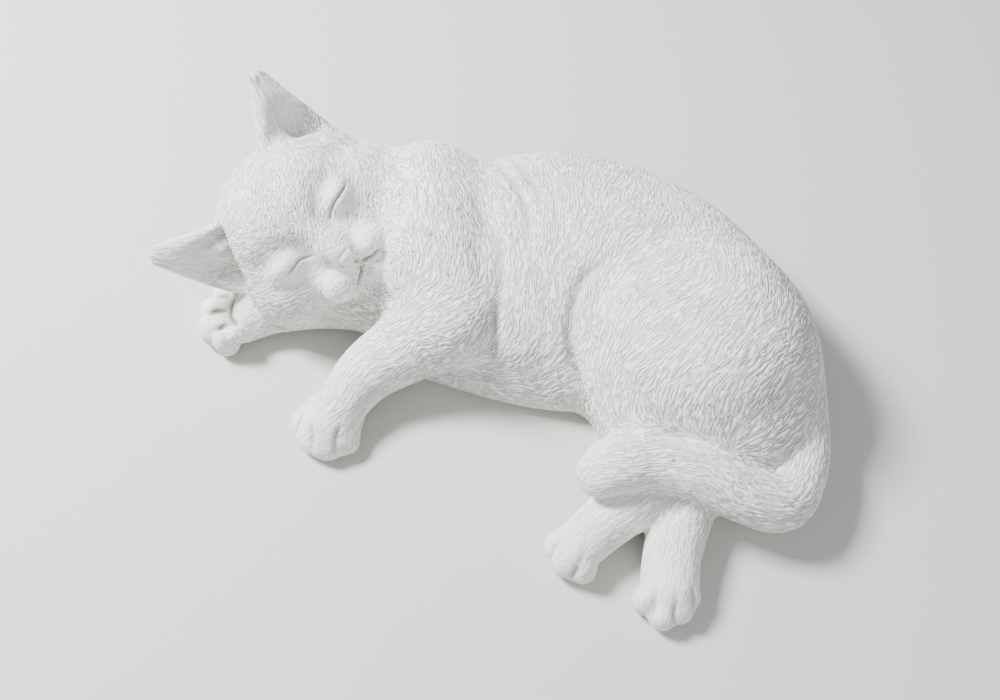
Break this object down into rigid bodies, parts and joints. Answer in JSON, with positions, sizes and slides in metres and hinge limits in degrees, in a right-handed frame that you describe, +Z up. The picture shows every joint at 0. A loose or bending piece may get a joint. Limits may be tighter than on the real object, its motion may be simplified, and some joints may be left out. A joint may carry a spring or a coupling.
{
  "type": "sleeping cat statue",
  "caption": "Cat asleep on its side, cast in one piece in white cement with a carved coat, flat below so that it lies on the ground or a shelf.",
  "frame": {"origin": "centre of the bounding box, at the flat underside", "axes": "+Z up, +X from the head towards the rump, +Y from the belly and feet towards the back"},
  "size_m": [0.4016, 0.3004, 0.1276],
  "materials": {
    "white_cement": "matte"
  },
  "bodies": {
    "root": {"cat": "white_cement"}
  },
  "joints": []
}
